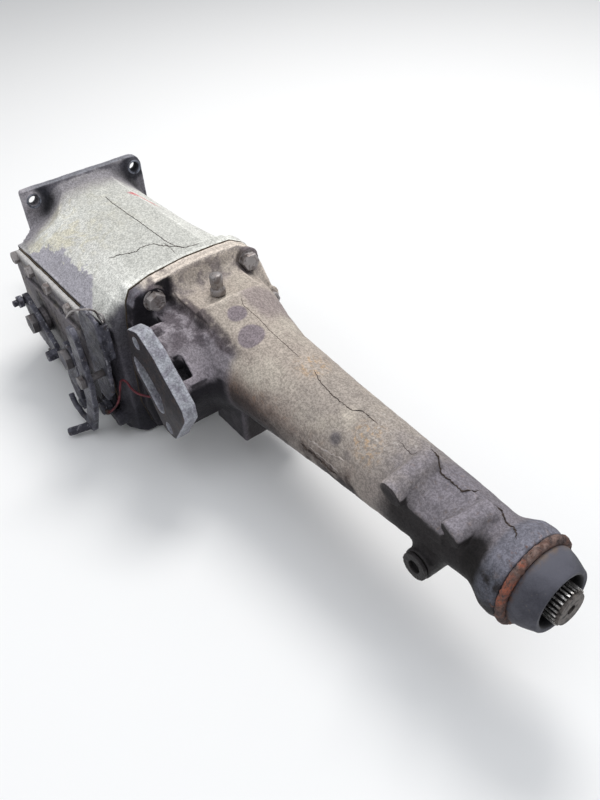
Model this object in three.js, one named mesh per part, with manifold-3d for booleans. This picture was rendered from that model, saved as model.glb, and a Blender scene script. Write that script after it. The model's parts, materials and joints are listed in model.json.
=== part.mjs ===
// A three-speed manual transmission for a front-engine, rear-drive car, in millimetres, +Z up.
// It is modelled round the main shaft: +X runs forward to the engine, +Y to the vehicle's left.
// "Station" is the distance behind the case's front face, so x = -station.
import * as THREE from "three";
import { mergeVertices } from "three/addons/utils/BufferGeometryUtils.js";
import Module from "manifold-3d";

const wasm = await Module();
wasm.setup();

// ---- driving dimensions -------------------------------------------------------------------
const GAP = 0.35; // between pieces that touch
const ROW_ORIGIN = { s: 294.5, y: 30.4, z: -118 };
const CASE_LENGTH = 262;
const CASE_WALL = 8;
const FLANGE_THICK = 11;
const FLANGE_RIGHT = -76.5;
const FLANGE_LEFT = 82.5;
const FLANGE_TOP = 88;
const FLANGE_BOTTOM = -118;
const FLANGE_HOLES = [[70.5, 75], [-65, 75], [70.5, -91], [-65, -91]]; // y, z
const CASE_BOTTOM = -118;
const SEAT = 1; // depth of the front bearing retainer's seat
const COVER_PLANE = 107; // left face of the case, where the side cover sits
const COVER = { front: 20, rear: 241, top: 32, bottom: -108, thick: 6 };
const GASKET = 1;
const EXT_FRONT = CASE_LENGTH + GASKET + 2 * GAP;
const EXT_FLANGE_REAR = EXT_FRONT + 15;
const EXT_END = 718.6;
const SHAFT_END = 755;
const INPUT_REACH = 150; // input shaft ahead of the front face
const CENTRES = 66; // main shaft to countershaft
const TEETH = { input: 16, counterDrive: 23, second: 22, counterSecond: 17, first: 26, counterFirst: 13 };
const REVERSE = { main: 22, idler: 14, counter: 12 };
const MODULE = (2 * CENTRES) / (TEETH.input + TEETH.counterDrive);
const COUNTER_Y = -20;
const COUNTER_Z = -Math.sqrt(CENTRES ** 2 - COUNTER_Y ** 2);
const HUBS = [{ id: "23", s: 96 }, { id: "1r", s: 190 }]; // synchroniser hubs and their shift shafts
const SHIFT_Z = -30;
const FORK_PIN_Z = 4;
const SPEEDO = { s: 643, z: -28 };
const EXT_BOLTS = [[57.1, 55.1], [-57.1, 55.1], [-79, -2], [-50, -64], [66, -56]]; // y, z
const COVER_BOLTS = [[32, 24], [76, 24], [128, 24], [185, 24], [60, -102], [185, -102]]; // station, z

// ---- finishes ------------------------------------------------------------------------------
const finish = (color, roughness, metalness) =>
  new THREE.MeshStandardMaterial({ color, roughness, metalness });
const CASE_IRON = finish(0xb4ae9c, 0.85, 0.2);
const TAIL_IRON = finish(0x7b7069, 0.85, 0.25);
const COVER_STEEL = finish(0x4d4642, 0.7, 0.4);
const LEVER_STEEL = finish(0x3f3b39, 0.6, 0.5);
const BOLT_STEEL = finish(0x6d655e, 0.55, 0.7);
const GEAR_STEEL = finish(0x9a9894, 0.35, 0.9);
const BRONZE = finish(0xa7834a, 0.4, 0.9);
const PAPER = finish(0x5d5343, 0.9, 0);
const RUBBER = finish(0x2c2e33, 0.75, 0);
const NYLON = finish(0xb9b3a2, 0.6, 0);
const WIRE_RED = finish(0x6e1d1c, 0.6, 0);

// ---- solids --------------------------------------------------------------------------------
function solid(geometry) {
  const bare = new THREE.BufferGeometry().setAttribute("position", geometry.getAttribute("position"));
  if (geometry.index) bare.setIndex(geometry.index);
  const merged = mergeVertices(bare, 1e-3);
  const mesh = new wasm.Mesh({
    numProp: 3,
    vertProperties: merged.attributes.position.array,
    triVerts: new Uint32Array(merged.index.array),
  });
  const made = new wasm.Manifold(mesh);
  if (made.volume() > 0) return made;
  const flipped = mesh.triVerts.slice();
  for (let i = 0; i < flipped.length; i += 3) {
    [flipped[i + 1], flipped[i + 2]] = [flipped[i + 2], flipped[i + 1]];
  }
  const facesOut = { numProp: 3, vertProperties: mesh.vertProperties, triVerts: flipped };
  return new wasm.Manifold(new wasm.Mesh(facesOut));
}

const join = (...parts) => parts.reduce((all, next) => all.add(next));
const cut = (body, ...tools) => tools.reduce((rest, tool) => rest.subtract(tool), body);
const v3 = (station, y, z) => new THREE.Vector3(-station, y, z);
const mapAxes = (...axes) => new THREE.Matrix4().makeBasis(...axes.map((axis) => new THREE.Vector3(...axis)));

// A rod, cone or hexagon from one point to another.
function rod(from, to, radius, sides = 16, endRadius = radius) {
  const along = to.clone().sub(from);
  const shape = new THREE.CylinderGeometry(endRadius, radius, along.length(), sides);
  const middle = from.clone().add(to).multiplyScalar(0.5);
  along.normalize();
  shape.applyQuaternion(new THREE.Quaternion().setFromUnitVectors(new THREE.Vector3(0, 1, 0), along));
  return solid(shape.translate(middle.x, middle.y, middle.z));
}

const bar = (s0, s1, y, z, radius, sides) => rod(v3(s0, y, z), v3(s1, y, z), radius, sides);
const barY = (s, z, y0, y1, radius, sides) => rod(v3(s, y0, z), v3(s, y1, z), radius, sides);

function block(s0, s1, y0, y1, z0, z1) {
  const shape = new THREE.BoxGeometry(s1 - s0, y1 - y0, z1 - z0);
  return solid(shape.translate(-(s0 + s1) / 2, (y0 + y1) / 2, (z0 + z1) / 2));
}

// A body turned about the X axis. The profile is a closed list of [station, radius].
function turned(profile, sides = 32, y = 0, z = 0) {
  const points = [...profile, profile[0]].map(([s, r]) => new THREE.Vector2(r, -s));
  const shape = new THREE.LatheGeometry(points, sides).rotateZ(-Math.PI / 2);
  return solid(shape.translate(0, y, z));
}

const ring = (s0, s1, inner, outer, sides, y, z) =>
  turned([[s0, inner], [s0, outer], [s1, outer], [s1, inner]], sides, y, z);

// An outline with each corner [a, b, radius] rounded by an arc of the given steps.
function rounded(corners, steps = 3) {
  return corners.flatMap(([a, b, radius], i) => {
    const here = new THREE.Vector2(a, b);
    const before = corners.at(i - 1);
    const after = corners[(i + 1) % corners.length];
    const u = new THREE.Vector2(before[0], before[1]).sub(here).normalize();
    const v = new THREE.Vector2(after[0], after[1]).sub(here).normalize();
    const half = Math.acos(u.dot(v)) / 2;
    const centre = here.clone().add(u.clone().add(v).normalize().multiplyScalar(radius / Math.sin(half)));
    const start = here.clone().add(u.multiplyScalar(radius / Math.tan(half))).sub(centre);
    const end = here.clone().add(v.multiplyScalar(radius / Math.tan(half))).sub(centre);
    const turn = Math.atan2(start.cross(end), start.dot(end));
    return Array.from({ length: steps + 1 }, (_, k) => {
      const p = start.clone().rotateAround(new THREE.Vector2(), (turn * k) / steps).add(centre);
      return [p.x, p.y];
    });
  });
}

// An outline of [y, z] points carried from one station to another.
function prism(outline, s0, s1, holes = []) {
  const shape = new THREE.Shape(outline.map(([y, z]) => new THREE.Vector2(y, z)));
  shape.holes = holes.map((hole) => new THREE.Path(hole.map(([y, z]) => new THREE.Vector2(y, z))));
  const made = new THREE.ExtrudeGeometry(shape, { depth: s1 - s0, bevelEnabled: false });
  return solid(made.applyMatrix4(mapAxes([0, 1, 0], [0, 0, 1], [1, 0, 0])).translate(-s1, 0, 0));
}

// An outline of [station, z] points carried from y0 to y1.
function prismY(outline, y0, y1) {
  const shape = new THREE.Shape(outline.map(([s, z]) => new THREE.Vector2(-s, z)));
  const made = new THREE.ExtrudeGeometry(shape, { depth: y1 - y0, bevelEnabled: false });
  return solid(made.applyMatrix4(mapAxes([1, 0, 0], [0, 0, 1], [0, -1, 0])).translate(0, y1, 0));
}

// A skin through [y, z] outlines with the same number of points, each at its own station.
function skin(rings) {
  const count = rings[0].outline.length;
  const positions = rings.flatMap(({ s, outline }) => outline.flatMap(([y, z]) => [-s, y, z]));
  const faces = [];
  for (let r = 0; r + 1 < rings.length; r++) {
    for (let i = 0; i < count; i++) {
      const a = r * count + i;
      const b = r * count + ((i + 1) % count);
      faces.push(a, a + count, b, b, a + count, b + count);
    }
  }
  for (const r of [0, rings.length - 1]) {
    const contour = rings[r].outline.map(([y, z]) => new THREE.Vector2(y, z));
    for (const [a, b, c] of THREE.ShapeUtils.triangulateShape(contour, [])) {
      faces.push(...(r ? [a, c, b] : [a, b, c]).map((k) => k + r * count));
    }
  }
  const made = new THREE.BufferGeometry();
  made.setAttribute("position", new THREE.Float32BufferAttribute(positions, 3));
  made.setIndex(faces);
  return solid(made);
}

// An anticlockwise outline moved inwards by d.
const inset = (outline, d) => outline.map((here, i) => {
  const dir = (a, b) => new THREE.Vector2(b[0] - a[0], b[1] - a[1]).normalize();
  const before = dir(outline.at(i - 1), here);
  const after = dir(here, outline[(i + 1) % outline.length]);
  const normal = new THREE.Vector2(-before.y - after.y, before.x + after.x);
  return [here[0] + (2 * d * normal.x) / normal.lengthSq(), here[1] + (2 * d * normal.y) / normal.lengthSq()];
});

const circle = (y, z, radius, sides = 12) => Array.from({ length: sides }, (_, i) => {
  const a = (2 * Math.PI * i) / sides;
  return [y + radius * Math.cos(a), z + radius * Math.sin(a)];
});

// Teeth round a hub: flank lists [part of a step, radius] across one tooth.
function toothed(count, flank, s0, s1, bore, y = 0, z = 0, turn = 0) {
  const step = (2 * Math.PI) / count;
  const outline = Array.from({ length: count }, (_, i) => flank.map(([a, radius]) => {
    const angle = turn + (i + a) * step;
    return [y + radius * Math.cos(angle), z + radius * Math.sin(angle)];
  })).flat();
  return prism(outline, s0, s1, bore ? [circle(y, z, bore, 20)] : []);
}

function gear(teeth, s0, s1, bore, y = 0, z = 0, turn = 0) {
  const pitch = (MODULE * teeth) / 2;
  const root = pitch - 1.2 * MODULE;
  const tip = pitch + 0.85 * MODULE;
  return toothed(teeth, [[-0.27, root], [-0.09, tip], [0.09, tip], [0.27, root]], s0, s1, bore, y, z, turn);
}

const splined = (s0, s1, root, tip, count, bore) =>
  toothed(count, [[-0.3, root], [-0.2, tip], [0.2, tip], [0.3, root]], s0, s1, bore);

const group = new THREE.Group();
group.name = "manual_transmission";
function add(name, body, material) {
  const { vertProperties, triVerts } = body.getMesh();
  const geometry = new THREE.BufferGeometry();
  geometry.setAttribute("position", new THREE.Float32BufferAttribute(vertProperties, 3));
  geometry.setIndex(new THREE.Uint32BufferAttribute(triVerts, 1));
  geometry.computeVertexNormals();
  const mesh = new THREE.Mesh(geometry, material);
  mesh.name = name;
  group.add(mesh);
}

// ---- case ------------------------------------------------------------------------------------
// Sections from the flange to the joint, all with the same number of points: the floor, the left face
// with the side cover's lip at its top, then over the crown and down the right side.
const section = (s, left, lip, shoulder, crown, fall, right, floor) => ({ s, outline: [
  [-46, floor - 2], [left - 10, floor - 2], [left, floor + 6], [left, lip], [shoulder[0], shoulder[1]],
  [shoulder[0] - 22, shoulder[1] + 12], [36, crown - 3], [2, crown], [-28, crown - 4], [fall[0], fall[1]],
  [right + 6, fall[1] - 22], [right, fall[1] - 64], [right, -40],
  [right + 4, floor + 34], [right + 16, floor + 8]] });
const SECTIONS = [
  section(9, 72, 36, [66, 58], 87, [-52, 62], -72, -114),
  section(20, 104, 31, [77, 44], 82, [-52, 57], -76, -116),
  section(60, COVER_PLANE, 34, [86, 51], 80, [-52, 57], -77, -116),
  section(160, COVER_PLANE, 34, [87, 54], 79, [-52, 58], -79, -116),
  section(247, COVER_PLANE, 34, [88, 56], 78, [-54, 64], -82, -116),
  section(CASE_LENGTH, 100, 26, [84, 52], 78, [-54, 66], -83, -114),
];
const WIRE_END = { s: 318, y: 62, z: -36 }; // a boss on the extension that takes the switch wire's terminal
const JOINT_OUTLINE = [[60, -114], [84, -102], [91, -70], [89, -10], [85, 34], [81, 56], [75, 67], [50, 74],
  [8, 78], [-27, 77.5], [-48, 76], [-62, 68], [-71, 54], [-77, 38], [-83, 19], [-88, 0], [-91, -20],
  [-90, -54], [-75, -90], [-40, -112]];

let housing = join(
  skin(SECTIONS),
  prism(rounded([[FLANGE_RIGHT, FLANGE_BOTTOM, 14], [FLANGE_LEFT, FLANGE_BOTTOM, 14],
    [FLANGE_LEFT, FLANGE_TOP, 4], [FLANGE_RIGHT, FLANGE_TOP, 11]]), 0, FLANGE_THICK),
  block(19, 244, 90, COVER_PLANE, -111, 33),
  ...FLANGE_HOLES.slice(0, 2).map(([y, z]) => bar(9, 15, y, z, 10.5, 14)),
  block(30, 250, -60, 96, CASE_BOTTOM, -98),
  prism(JOINT_OUTLINE, 246, CASE_LENGTH),
  ...EXT_BOLTS.map(([y, z]) => bar(240, CASE_LENGTH, y, z, 14, 14)),
  bar(1, 24, COUNTER_Y, COUNTER_Z, 17, 16),
  barY(120, -40, -87.6, -70, 17, 16),
  barY(251, -88, 78, 120, 9.5, 14),
);
housing = cut(housing,
  bar(-1, SEAT, 0, 0, 53, 32),
  skin([1, 3, 4].map((i) => ({ s: SECTIONS[i].s, outline: inset(SECTIONS[i].outline, CASE_WALL) }))),
  prismY([[34, -96], [228, -96], [228, 16], [34, 16]], 50, 120),
  ...FLANGE_HOLES.map(([y, z]) => bar(-2, 18, y, z, 6, 10)),
  bar(-1, 22, 0, 0, 36.35, 24),
  bar(240, 264, 0, 0, 40.4, 24),
  bar(-1, 26, COUNTER_Y, COUNTER_Z, 10.35, 16),
  bar(240, 264, COUNTER_Y, COUNTER_Z, 10.35, 16),
);
add("main_case", housing, CASE_IRON);

// ---- front bearing retainer -------------------------------------------------------------------
const RETAINER_PINS = circle(0, 0, 44, 8).filter((_, i) => i % 2);
add("front_bearing_retainer", cut(
  turned([[-76, 14], [-76, 18.5], [-16, 18.5], [-9.5, 24], [-9.5, 52],
    [SEAT - GAP, 52], [SEAT - GAP, 14]], 20),
  ...RETAINER_PINS.map(([y, z]) => bar(-12, 2, y, z, 4.6, 10)),
), TAIL_IRON);
RETAINER_PINS.forEach(([y, z], i) => {
  add(`retainer_bolt_${i + 1}`, join(bar(-11, -0.6, y, z, 4, 10), bar(-15, -10, y, z, 7, 6)), BOLT_STEEL);
});

// ---- side cover --------------------------------------------------------------------------------
const coverOutline = (d) => rounded([
  [COVER.front + d, COVER.bottom + d, 12], [COVER.rear - d, COVER.bottom + d, 12],
  [COVER.rear - d, COVER.top - d, 12], [COVER.front + d, COVER.top - d, 12]], 2);
const GASKET_FACE = COVER_PLANE + GAP;
const COVER_FACE = GASKET_FACE + GASKET + GAP;
const COVER_OUT = COVER_FACE + COVER.thick;
const coverWindow = rounded([[36, -94, 6], [226, -94, 6], [226, 14, 6], [36, 14, 6]], 1);
add("side_cover_gasket", cut(prismY(coverOutline(0), GASKET_FACE, GASKET_FACE + GASKET),
  prismY(coverWindow, GASKET_FACE - 1, GASKET_FACE + 3),
  ...COVER_BOLTS.map(([s, z]) => barY(s, z, GASKET_FACE - 1, GASKET_FACE + 3, 4.6, 8))), PAPER);
add("side_cover", cut(
  join(prismY(coverOutline(0), COVER_FACE, COVER_OUT),
    prismY(rounded([[42, -88, 16], [220, -88, 16], [220, 8, 16], [42, 8, 16]], 2),
      COVER_OUT - 1, COVER_OUT + 4),
    ...HUBS.map(({ s }) => barY(s, SHIFT_Z, COVER_OUT - 1, COVER_OUT + 11, 15, 16))),
  ...HUBS.map(({ s }) => barY(s, SHIFT_Z, COVER_FACE - 2, COVER_OUT + 13, 8.35, 16)),
  ...COVER_BOLTS.map(([s, z]) => barY(s, z, COVER_FACE - 1, COVER_OUT + 5, 4.6, 8))), COVER_STEEL);
COVER_BOLTS.forEach(([s, z], i) => {
  add(`side_cover_bolt_${i + 1}`, join(barY(s, z, COVER_PLANE + 0.6, COVER_OUT + 2, 4, 8),
    barY(s, z, COVER_OUT + GAP, COVER_OUT + 6, 7.4, 6)), BOLT_STEEL);
});

// ---- extension housing -------------------------------------------------------------------------
const TUBE = [[276, 73], [300, 70], [320, 67.5], [339, 62.6], [349, 59.6], [357, 57.4],
  [396, 48.5], [462, 43.8], [520, 40], [600, 36], [642, 34], [665, 32], [686, 31], [690, 32.5],
  [697, 36], [704, 39.3], [712, 40], [EXT_END, 38.2]];
const TUBE_INSIDE = [[EXT_END + 1, 25], [690, 25], [660, 25.5], [600, 28], [462, 36], [396, 40.5], [357, 49],
  [320, 57], [EXT_FRONT - 1, 61]];
const CONE = [[EXT_FRONT + 1, 0], [EXT_FRONT + 1, 74], ...TUBE, [EXT_END, 0]];
const padOutline = rounded([[299, 50, 5], [322, 57, 8], [346, 44, 6], [390, 2, 6], [391, -12, 7],
  [359, -56, 6], [337, -56, 6], [318, -28, 8], [291, -6, 6], [292, 16, 6]], 2);
const padWindow = rounded([[298, 18, 4], [319, 14, 6], [345, -8, 5],
  [346, -30, 5], [334, -34, 4], [300, -2, 4]], 2);
let extension = join(
  cut(turned(CONE, 32),
    prismY([[EXT_FLANGE_REAR - 2, 60], [EXT_FLANGE_REAR + 8, 53], [322, 50], [336, 62], [340, 110],
      [EXT_FLANGE_REAR - 2, 110]], -80, 37),
    prismY([[EXT_FLANGE_REAR - 2, 42], [336, 38], [350, 44], [358, 110], [EXT_FLANGE_REAR - 2, 110]],
      35, 82)),
  prism(JOINT_OUTLINE, EXT_FRONT, EXT_FLANGE_REAR),
  ...EXT_BOLTS.map(([y, z]) => bar(EXT_FLANGE_REAR - 1, EXT_FLANGE_REAR + 2, y, z, 14, 16)),
  prismY(padOutline, 84, 100),
  prismY([[300, 42], [320, 42], [343, 34], [371, 11], [374, -6], [355, -52], [336, -52], [336, -40],
    [344, -38], [360, -8], [358, 4], [334, 21], [318, 28], [300, 28]], 28, 86),
  barY(WIRE_END.s, WIRE_END.z, 40, WIRE_END.y, 8, 14),
  block(335, 390, -36.6, 36.6, -75.7, -30),
  prism([[-4, 14], [34, 8], [34, 22], [22, 31], [-4, 37]], 616, 662),
  rod(v3(612, -6, 37), v3(612, 41, 28), 12, 18),
  rod(v3(676, -3, 33), v3(668, 34, 26.5), 11, 18),
  barY(SPEEDO.s, SPEEDO.z, -18, 39, 14, 18),
);
extension = cut(extension,
  cut(turned([[EXT_END + 1, 0], ...TUBE_INSIDE, [EXT_FRONT - 1, 0]], 24),
    block(EXT_FLANGE_REAR - 5, 350, -70, 70, 43, 100), block(EXT_FLANGE_REAR - 5, 362, 26, 70, 31, 100)),
  block(EXT_FLANGE_REAR + 1, 299, 60, 82, -60, 90),
  prismY(padWindow, 82, 104),
  block(346, 366, 70, 84, -4, 40),
  barY(314, 40, 70, 104, 6.5, 12),
  barY(349, -47, 60, 104, 6.5, 12),
  barY(SPEEDO.s, SPEEDO.z, -14.5, 50, 10.35, 18),
  ...EXT_BOLTS.map(([y, z]) => bar(EXT_FRONT - 2, EXT_FLANGE_REAR + 4, y, z, 6.6, 10)),
  ...EXT_BOLTS.map(([y, z]) => bar(EXT_FLANGE_REAR + 2, EXT_FLANGE_REAR + 40, y, z, 14.4, 16)),
  rod(v3(310, 0, 40), v3(310, 0, 60), 4.35, 12),
);
add("extension_housing", extension, TAIL_IRON);
add("extension_gasket", cut(prism(JOINT_OUTLINE, CASE_LENGTH + GAP, CASE_LENGTH + GAP + GASKET),
  bar(260, 266, 0, 0, 62, 36), bar(260, 266, COUNTER_Y, COUNTER_Z, 10.35, 12),
  ...EXT_BOLTS.map(([y, z]) => bar(260, 266, y, z, 6.6, 8))), PAPER);
EXT_BOLTS.forEach(([y, z], i) => {
  add(`extension_bolt_${i + 1}`, join(bar(CASE_LENGTH + 0.6, EXT_FLANGE_REAR + 4, y, z, 6, 10),
    bar(EXT_FLANGE_REAR + 2 + GAP, EXT_FLANGE_REAR + 4, y, z, 12, 16),
    bar(EXT_FLANGE_REAR + 3, EXT_FLANGE_REAR + 10, y, z, 10.4, 6)), BOLT_STEEL);
});
add("vent", join(rod(v3(310, 0, 44), v3(310, 0, 60), 4, 12), rod(v3(310, 0, 52 + GAP), v3(310, 0, 59), 8, 16),
  rod(v3(310, 0, 58), v3(310, 0, 74.5), 6.8, 14)), BOLT_STEEL);
add("extension_bushing", ring(692, 716, 21, 24.5, 20), BRONZE);
add("tail_ring", ring(EXT_END + GAP, 725, 23, 39, 28), TAIL_IRON);
add("output_seal", turned([[725.35, 22], [725.35, 33.6], [732, 33], [739, 30.4], [747, 27.6], [747, 22]], 28),
  RUBBER);

// ---- fittings ------------------------------------------------------------------------------------
add("filler_plug", join(barY(120, -40, -96, -88, 12, 16), block(114, 126, -104, -95, -46, -34)), BOLT_STEEL);
add("reverse_lamp_switch", join(barY(229, -84, COVER_OUT + GAP, COVER_OUT + 6, 10.5, 6),
  barY(229, -84, COVER_OUT + 5, COVER_OUT + 12, 7.5, 12)), LEVER_STEEL);
const wireRun = new THREE.CatmullRomCurve3([v3(239, COVER_OUT + 9, -84), v3(250, 121.5, -75), v3(258, 116, -63),
  v3(262.5, 112, -49), v3(266, 110, -35), v3(270.5, 108, -27), v3(276, 106, -27), v3(281, 104.5, -33),
  v3(288, 102, -37), v3(297, 97, -38), v3(305, 90, -38.5), v3(312, 82, -37.5), v3(317, 75.5, -36.5),
  v3(WIRE_END.s, WIRE_END.y + 8 + GAP, WIRE_END.z)]);
const wireSection = new THREE.Shape(circle(0, 0, 1.7, 6).map(([a, b]) => new THREE.Vector2(a, b)));
const wireShape = { steps: 24, bevelEnabled: false, extrudePath: wireRun };
add("switch_wire", solid(new THREE.ExtrudeGeometry(wireSection, wireShape)), WIRE_RED);
add("wire_terminal", join(barY(WIRE_END.s, WIRE_END.z, WIRE_END.y + GAP, WIRE_END.y + 3, 6.5, 12),
  barY(WIRE_END.s, WIRE_END.z, WIRE_END.y + 2, WIRE_END.y + 8, 3.4, 10)), BOLT_STEEL);

// ---- bearings and fixed shafts ---------------------------------------------------------------------
add("front_bearing", ring(1.5, 18, 17.35, 36, 24), GEAR_STEEL);
add("rear_bearing", ring(243, 261, 18.35, 40, 24), GEAR_STEEL);
add("countershaft", bar(1, 261, COUNTER_Y, COUNTER_Z, 10, 16), GEAR_STEEL);

// ---- gear train -------------------------------------------------------------------------------------
const counterTurn = Math.atan2(-COUNTER_Z, -COUNTER_Y); // from the countershaft up to the main shaft
const mesh = (teeth, angle) => angle + (teeth ? Math.PI / teeth : 0);
const MAIN_TO_COUNTER = Math.atan2(COUNTER_Z, COUNTER_Y);
add("input_shaft", cut(
  join(bar(-INPUT_REACH - 14, -INPUT_REACH + 1, 0, 0, 7.5, 16), splined(-INPUT_REACH, -96, 10.4, 12.6, 10),
    bar(-97, 30, 0, 0, 12.6, 16), bar(SEAT + GAP, 30, 0, 0, 17, 18),
    gear(TEETH.input, 28, 58, 0, 0, 0, MAIN_TO_COUNTER), bar(57, 80, 0, 0, 26, 20)),
  bar(58, 84, 0, 0, 10.35, 16),
), GEAR_STEEL);
add("mainshaft", cut(join(
  bar(62, 90, 0, 0, 10, 16), bar(86, 243, 0, 0, 15, 24), bar(238, 262, 0, 0, 18, 24),
  bar(261, 692, 0, 0, 15, 20),
  turned([[630, 0], [630, 16.6], [656, 16.6], [656, 0]], 18),
  splined(690, SHAFT_END - 2, 13.8, 15.8, 27), bar(SHAFT_END - 3, SHAFT_END, 0, 0, 13.8, 24),
), bar(SHAFT_END - 14, SHAFT_END + 1, 0, 0, 4.2, 12)), GEAR_STEEL);
add("cluster_gear", cut(join(
  gear(TEETH.counterDrive, 30, 56, 0, COUNTER_Y, COUNTER_Z, mesh(TEETH.counterDrive, counterTurn)),
  bar(55, 212, COUNTER_Y, COUNTER_Z, 16, 18),
  gear(TEETH.counterSecond, 120, 142, 0, COUNTER_Y, COUNTER_Z, mesh(TEETH.counterSecond, counterTurn)),
  gear(TEETH.counterFirst, 146, 168, 0, COUNTER_Y, COUNTER_Z, mesh(TEETH.counterFirst, counterTurn)),
  gear(REVERSE.counter, 210, 232, 0, COUNTER_Y, COUNTER_Z, mesh(REVERSE.counter, counterTurn)),
), bar(20, 240, COUNTER_Y, COUNTER_Z, 10.35, 16)), GEAR_STEEL);
const loose = (teeth, s0, s1, dog0, dog1, turn = MAIN_TO_COUNTER) =>
  cut(join(gear(teeth, s0, s1, 0, 0, 0, turn), bar(dog0, dog1, 0, 0, 26, 20)),
    bar(s0 - 20, s1 + 20, 0, 0, 15.35, 24));
add("second_gear", loose(TEETH.second, 119, 142, 108, 120), GEAR_STEEL);
add("first_gear", loose(TEETH.first, 145, 168, 167, 179), GEAR_STEEL);

// The reverse idler sits where it meshes with both reverse gears.
const pitchOf = (teeth) => (MODULE * teeth) / 2;
const toMain = pitchOf(REVERSE.main) + pitchOf(REVERSE.idler);
const toCounter = pitchOf(REVERSE.counter) + pitchOf(REVERSE.idler);
const along = (toMain ** 2 - toCounter ** 2 + CENTRES ** 2) / (2 * CENTRES);
const aside = Math.sqrt(toMain ** 2 - along ** 2);
const IDLER_Y = (along * COUNTER_Y - aside * COUNTER_Z) / CENTRES;
const IDLER_Z = (along * COUNTER_Z + aside * COUNTER_Y) / CENTRES;
const counterToIdler = Math.atan2(IDLER_Z - COUNTER_Z, IDLER_Y - COUNTER_Y);
const idlerToMain = Math.atan2(-IDLER_Z, -IDLER_Y);
// Tooth phase carries from the countershaft gear through the idler to the main gear.
const counterPhase = mesh(REVERSE.counter, counterTurn);
const idlerPhase = counterToIdler + Math.PI + Math.PI / REVERSE.idler
  - ((counterPhase - counterToIdler) * REVERSE.counter) / REVERSE.idler;
const mainPhase = idlerToMain + Math.PI + Math.PI / REVERSE.main
  - ((idlerPhase - idlerToMain) * REVERSE.idler) / REVERSE.main;
add("reverse_gear", loose(REVERSE.main, 212, 232, 201, 213, mainPhase), GEAR_STEEL);
add("reverse_idler", gear(REVERSE.idler, 213, 231, 8.35, IDLER_Y, IDLER_Z, idlerPhase), GEAR_STEEL);
add("reverse_idler_shaft", bar(206, 243.4, IDLER_Y, IDLER_Z, 8, 14), GEAR_STEEL);

// ---- synchronisers, forks and shift levers -----------------------------------------------------------
for (const { id, s } of HUBS) {
  add(`hub_${id}`, splined(s - 9, s + 9, 30, 32.6, 12, 15.35), GEAR_STEEL);
  add(`sleeve_${id}`, cut(bar(s - 11, s + 11, 0, 0, 41.5, 24), splined(s - 12, s + 12, 31, 33.6, 12, 0),
    ring(s - 3.2, s + 3.2, 37, 44, 24)), BRONZE);
  const prongs = prism([...circle(0, 0, 48, 24).filter(([y]) => y > -8)], s - 2.7, s + 2.7);
  add(`fork_${id}`, cut(
    join(cut(prongs, bar(s - 5, s + 5, 0, 0, 37.6, 24)), block(s - 2.7, s + 2.7, 44, 80, -6, 12),
      block(s - 9, s + 9, 76, 84, -8, 14)),
    block(s - 4.4, s + 4.4, 70, 90, FORK_PIN_Z - 6, FORK_PIN_Z + 6)), BRONZE);
  add(`shift_shaft_${id}`, join(
    barY(s, SHIFT_Z, 90, COVER_OUT + 26, 8, 14), barY(s, SHIFT_Z, 88, COVER_FACE - 4, 13, 16),
    block(s - 6, s + 6, 88, 96, SHIFT_Z, FORK_PIN_Z + 5), barY(s, FORK_PIN_Z, 77, 89, 4, 12)), LEVER_STEEL);
}
const LEVER_IN = COVER_OUT + 13;
const lever = (outline, s) => cut(prismY(outline, LEVER_IN, LEVER_IN + 6),
  barY(s, SHIFT_Z, LEVER_IN - 2, LEVER_IN + 9, 8.35, 14));
add("lever_23", join(
  lever(rounded([[66, -6, 8], [82, 4, 8], [112, -16, 10], [150, -42, 8], [142, -58, 8], [96, -48, 14]], 2),
    HUBS[0].s),
  barY(78, -7, LEVER_IN + 5, LEVER_IN + 20, 4, 8), barY(78, -7, LEVER_IN + 8, LEVER_IN + 14, 8, 6),
  barY(142, -50, LEVER_IN + 5, LEVER_IN + 17, 7, 6)), LEVER_STEEL);
add("lever_1r", join(lever(rounded([[186, -8, 6], [206, -16, 8], [206, -46, 10], [188, -70, 8],
  [192, -104, 7], [178, -112, 7], [164, -72, 8], [172, -30, 8]], 2), HUBS[1].s),
  barY(183, -100, LEVER_IN + 5, LEVER_IN + 8, 6, 6)), LEVER_STEEL);
for (const { id, s } of HUBS) {
  add(`lever_nut_${id}`, cut(barY(s, SHIFT_Z, LEVER_IN + 6 + GAP, LEVER_IN + 13, 13, 6),
    barY(s, SHIFT_Z, LEVER_IN, LEVER_IN + 20, 8.35, 14)), BOLT_STEEL);
}

// ---- speedometer drive -----------------------------------------------------------------------------------
add("speedometer_gear", join(barY(SPEEDO.s, SPEEDO.z, -13.5, 14, 9.9, 14),
  barY(SPEEDO.s, SPEEDO.z, 13, 30, 4, 10)), NYLON);
add("speedometer_adapter", cut(
  join(barY(SPEEDO.s, SPEEDO.z, 16, 41, 10, 16), barY(SPEEDO.s, SPEEDO.z, 39 + GAP, 42.5, 12.8, 16)),
  barY(SPEEDO.s, SPEEDO.z, 10, 32, 4.35, 10), barY(SPEEDO.s, SPEEDO.z, 38, 52, 6, 12)), BOLT_STEEL);

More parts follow.
